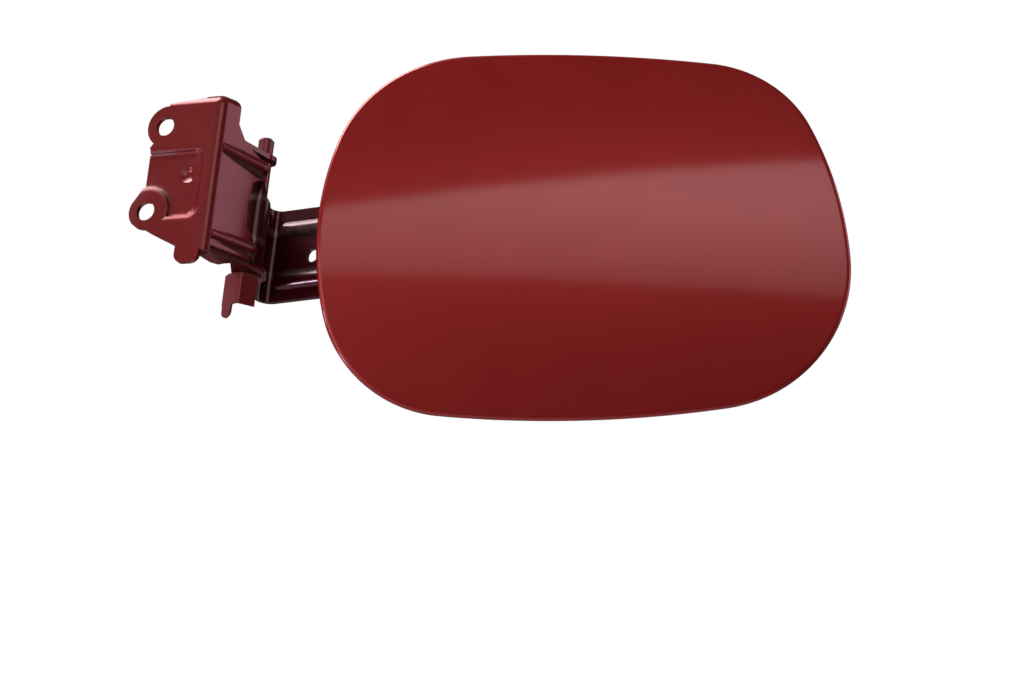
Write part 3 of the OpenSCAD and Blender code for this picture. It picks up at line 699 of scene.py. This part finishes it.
def sheet_normals(mesh, limit):
    """One normal for each corner of a triangle mesh: the sum of the face normals round its
    vertex that lie within the limit of its own, times corner angle and area of flat side."""
    corners, points = read_triangles(mesh)
    sides = points[np.roll(corners, -1, axis=1)] - points[corners]
    cross = np.cross(sides[:, 0], -sides[:, 2])
    double = np.linalg.norm(cross, axis=1)
    normals = cross / np.maximum(double, 1e-16)[:, None]
    label = flat_sides(normals, touching_faces(corners))
    weight = np.bincount(label, double, len(normals))[label]
    faces = np.repeat(np.arange(len(corners)), 3)
    parts = normals[faces] * (weight[faces] * corner_angles(sides).ravel())[:, None]
    mine, other = corner_pairs(corners)
    turn = (normals[faces[mine]] * normals[faces[other]]).sum(axis=1)
    near = turn > math.cos(math.radians(limit))
    total = np.zeros((len(faces), 3))
    np.add.at(total, mine[near], parts[other[near]])
    return total / np.maximum(np.linalg.norm(total, axis=1), 1e-16)[:, None]


print("normals can be worked out")

# %% [markdown]
# ## Merged copies
#
# Each stamping is a copy of its CAD node, because the node itself has to stay as it is. The
# copy's loose triangles are joined where their points meet, slivers are closed, and the
# normals from above are written on it. Bends up to 40 degrees a facet count as smooth.

# %% Merged copies
SAME_POINT, SLIVER = 2e-6, 1e-7
SMOOTH_BEND = 40.0


def stamping(node, finish, body, slot):
    """A merged copy of a CAD node, smooth over its bends and flat on its flat sides."""
    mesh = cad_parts[node].data.copy()
    mesh.materials.clear()
    made = bmesh.new()
    made.from_mesh(mesh)
    bmesh.ops.remove_doubles(made, verts=made.verts, dist=SAME_POINT)
    bmesh.ops.dissolve_degenerate(made, edges=made.edges, dist=SLIVER)
    bmesh.ops.triangulate(made, faces=made.faces)
    made.to_mesh(mesh)
    made.free()
    piece = add_piece(node + "_sheet", mesh, finish, body, slot, node)
    mesh.normals_split_custom_set(sheet_normals(mesh, SMOOTH_BEND).tolist())
    print(node, "triangles:", len(mesh.polygons))
    return piece


arm_sheet = stamping("hinge_arm", arm_paint_and_shade, "door", "thin_red_paint")
bracket_sheet = stamping("hinge_bracket", bracket_paint, "bracket", "red_metallic_paint")
spring_sheet = stamping("snap_spring", leaf_paint, "bracket", "red_metallic_paint")
striker_sheet = stamping("latch_striker", thin_paint_and_shade, "door", "thin_red_paint")

# %% [markdown]
# ## Small finishes
#
# The pin's paint is worn and pale, so steel shows through it. Bumpers are moulded rubber, the
# cap holder is a moulded plastic, and both carry the fine texture of their mould. The rivets
# are plain turned steel. All are seen small, so a noise in tone, roughness and slope does for
# what could be modelled as grain.

# %% Small finishes
pin_finish = paint("pin_paint", (0.36, 0.070, 0.082), (0.27, 0.050, 0.062), metal=0.6,
                   rough=0.4, coat=0.4, flake=0.4, dust=0.3)


def moulded(name, colour, rough, coarse):
    """Rubber or plastic: a plain dark colour with a mould's fine texture."""
    f = Finish(name, Metallic=0.0)
    texture = f.noise(coarse, 4.0)
    tone = f.blend(f.noise(70.0), tinted(colour), tinted(colour, 1.7))
    return f.set(Base_Color=tone, Roughness=rough + 0.15 * (texture - 0.5),
                 Normal=f.bump(texture, 0.25, 0.1 * MM)).material


def turned_steel(name):
    """Rivet steel: grey metal whose marks change tone, roughness and slope together."""
    f = Finish(name, Metallic=1.0)
    mark = f.noise(900.0, 3.0)
    return f.set(Base_Color=f.blend(mark, (0.42, 0.42, 0.43, 1), (0.6, 0.6, 0.61, 1)),
                 Roughness=0.3 + 0.2 * mark, Normal=f.bump(mark, 0.1, 0.05 * MM)).material


rubber = moulded("black_rubber", (0.020, 0.020, 0.021), 0.75, 1500.0)
plastic = moulded("black_plastic", (0.030, 0.030, 0.032), 0.5, 2200.0)
rivet_steel = turned_steel("rivet_steel")
print("small finishes:", pin_finish.name, rubber.name, plastic.name, rivet_steel.name)

# %% [markdown]
# ## Kept solids
#
# The inner panel, the pin, the rivets, the bumpers and the cap holder keep their solids, which
# are right as they are. New meshes would add nothing, so each only gets its finish.

# %% Finishes on the kept solids
KEPT = {"inner_panel": thin_paint_and_shade, "hinge_pin": pin_finish, "striker_rivets": rivet_steel,
        "bumper_upper": rubber, "bumper_lower": rubber, "cap_holder": plastic}
for node, finish in KEPT.items():
    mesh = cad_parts[node].data
    mesh.materials.clear()
    mesh.materials.append(finish)
print("kept solids:", len(KEPT))

# %% [markdown]
# ## Floor
#
# The part hangs in the frame as it does on a car, so the floor lies well below it. A large
# plain floor would end in a grey line against the white background. So it grows clearer the
# further out it lies, until only the background is seen.

# %% Floor
FLOOR_HALF, FLOOR_LEVEL = 9, -0.95
FADE_REACH = 4.0


def stage_piece(name, points, finish):
    """A flat piece of four points that belongs to the stage and not to the part."""
    mesh = bpy.data.meshes.new(name)
    mesh.from_pydata(points, [], [(0, 1, 2, 3)])
    made = bpy.data.objects.new(name, mesh)
    bpy.context.scene.collection.objects.link(made)
    mesh.materials.append(finish.material)
    return made


def floor_paper():
    """White paper: its cover falls from six tenths to nothing over the distance from the
    middle, between a tenth and six tenths of the reach."""
    f = Finish("floor", Base_Color=(0.90, 0.90, 0.90, 1), Roughness=0.9)
    reach = (f.part(f.place, 0) ** 2 + f.part(f.place, 1) ** 2) ** 0.5
    return f.set(Alpha=f.ramp(reach * (1 / FADE_REACH), 0.1, 0.6, (0.6, 0.6, 0.6, 1), (0, 0, 0, 1)))


ways = [(-1, -1), (1, -1), (1, 1), (-1, 1)]
floor = stage_piece("floor", [(x * FLOOR_HALF, y * FLOOR_HALF, FLOOR_LEVEL) for x, y in ways], floor_paper())
print("floor at", FLOOR_LEVEL)

# %% [markdown]
# ## Background
#
# The background is plain white, but a white room would light the paint from every side and
# wash its red out. A white wall behind the part would do, and would be in the way of other
# views. So the world is white for what the camera sees straight on, and dim for all else.

# %% Background
ROOM = 0.052
world = bpy.data.worlds.new("room")
bpy.context.scene.world = world
world.use_nodes = True
room = world.node_tree
path = room.nodes.new("ShaderNodeLightPath")
strength = room.nodes.new("ShaderNodeMix")
room.links.new(path.outputs["Is Camera Ray"], strength.inputs[0])
strength.inputs[2].default_value = ROOM
strength.inputs[3].default_value = 1.0
room.links.new(strength.outputs[0], room.nodes["Background"].inputs["Strength"])
room.nodes["Background"].inputs["Color"].default_value = (1, 1, 1, 1)
print("the room is", ROOM, "as bright as the background")

# %% [markdown]
# ## Light panel
#
# Lacquer is a mirror, so the bright band across the door is the picture of something bright.
# An area lamp would do for a plain band, but it has one tone and square corners. This band is
# a wedge that widens to the right and fades towards its lower edge, so it comes from a
# glowing panel with four free corners and a ramp over its height.

# %% Light panel
MIDDLE = np.array([0.164, -0.015, -0.012])
PANEL_CORNERS = [(-15, 15.3), (15, 15.3), (15, 32.0), (-15, 21.9)]
PANEL_DISTANCE, PANEL_GLOW = 3.0, 2.2


def towards(azimuth, elevation):
    """Direction from the door: azimuth 0 lies in front, on -Y, and 90 to the right."""
    a, e = np.radians(azimuth), np.radians(elevation)
    return np.array([np.sin(a) * np.cos(e), -np.cos(a) * np.cos(e), np.sin(e)])


def glow(name, strength, low, high):
    """A glow that rises from a third at the height low to full at six tenths of the way to
    the height high."""
    f = Finish(name, Base_Color=(0, 0, 0, 1), Roughness=1.0, Emission_Strength=strength)
    share = (f.part(f.place, 2) - low) * (1 / (high - low))
    return f.set(Emission_Color=f.ramp(share, 0.0, 0.6, (0.34, 0.28, 0.28, 1), (1.0, 0.78, 0.80, 1)))


def panel(name, corners, distance, strength):
    """A glowing flat panel: each corner lies in its given direction from the door, as far out
    as the plane that stands square to the middle direction at the distance."""
    middle = towards(*np.mean(corners, axis=0))
    rays = np.array([towards(*c) for c in corners])
    points = MIDDLE + rays * (distance / (rays @ middle))[:, None]
    low, high = float(points[:, 2].min()), float(points[:, 2].max())
    return stage_piece(name, points.tolist(), glow(name, strength, low, high))


band_panel = panel("band_panel", PANEL_CORNERS, PANEL_DISTANCE, PANEL_GLOW)
print("panel in place:", band_panel.name)

# %% [markdown]
# ## Lamps
#
# The key stands high on the left and lights the flange and the door's face. The box on the
# right lights the bracket's web. Two small ones low on the left draw narrow highlights along
# the arm and the pin, the front one lifts the shadows, and the back one keeps the rear from
# going black. Point lamps would be simpler, but would show as dots in the lacquer, so all are
# square areas, like a studio's soft boxes.


# %% Lamps
def soft_box(name, azimuth, elevation, distance, size, power, tint=(1.0, 1.0, 1.0)):
    """A square lamp that looks at the door's middle from a direction."""
    lamp = bpy.data.lights.new(name, "AREA")
    lamp.shape, lamp.size, lamp.energy, lamp.color = "SQUARE", size, power, tint
    made = bpy.data.objects.new(name, lamp)
    bpy.context.scene.collection.objects.link(made)
    back = towards(azimuth, elevation)
    right = np.cross((0.0, 0.0, 1.0), back)
    right /= np.linalg.norm(right)
    made.matrix_world = standing(np.column_stack([right, np.cross(back, right), back]),
                                 MIDDLE + back * distance)
    return made


PINK, VIOLET = (1.0, 0.80, 1.0), (0.92, 0.74, 1.0)
key_box = soft_box("key_box", -88, 54, 2.6, 1.7, 66)
front_box = soft_box("front_box", -30, 2, 2.6, 1.4, 7)
side_box = soft_box("side_box", 82, 22, 2.6, 1.9, 14.5, PINK)
left_box = soft_box("left_box", -68, -4, 2.6, 0.24, 7, VIOLET)
under_box = soft_box("under_box", -74, -27, 1.8, 0.2, 5, VIOLET)
back_box = soft_box("back_box", 165, -18, 1.8, 0.7, 4)
print("lamps:", len(bpy.data.lights))

# %% [markdown]
# ## View
#
# The Standard view shows a colour as it is written, where a filmic one would dull the red.

# %% View
bpy.context.scene.view_settings.view_transform = "Standard"
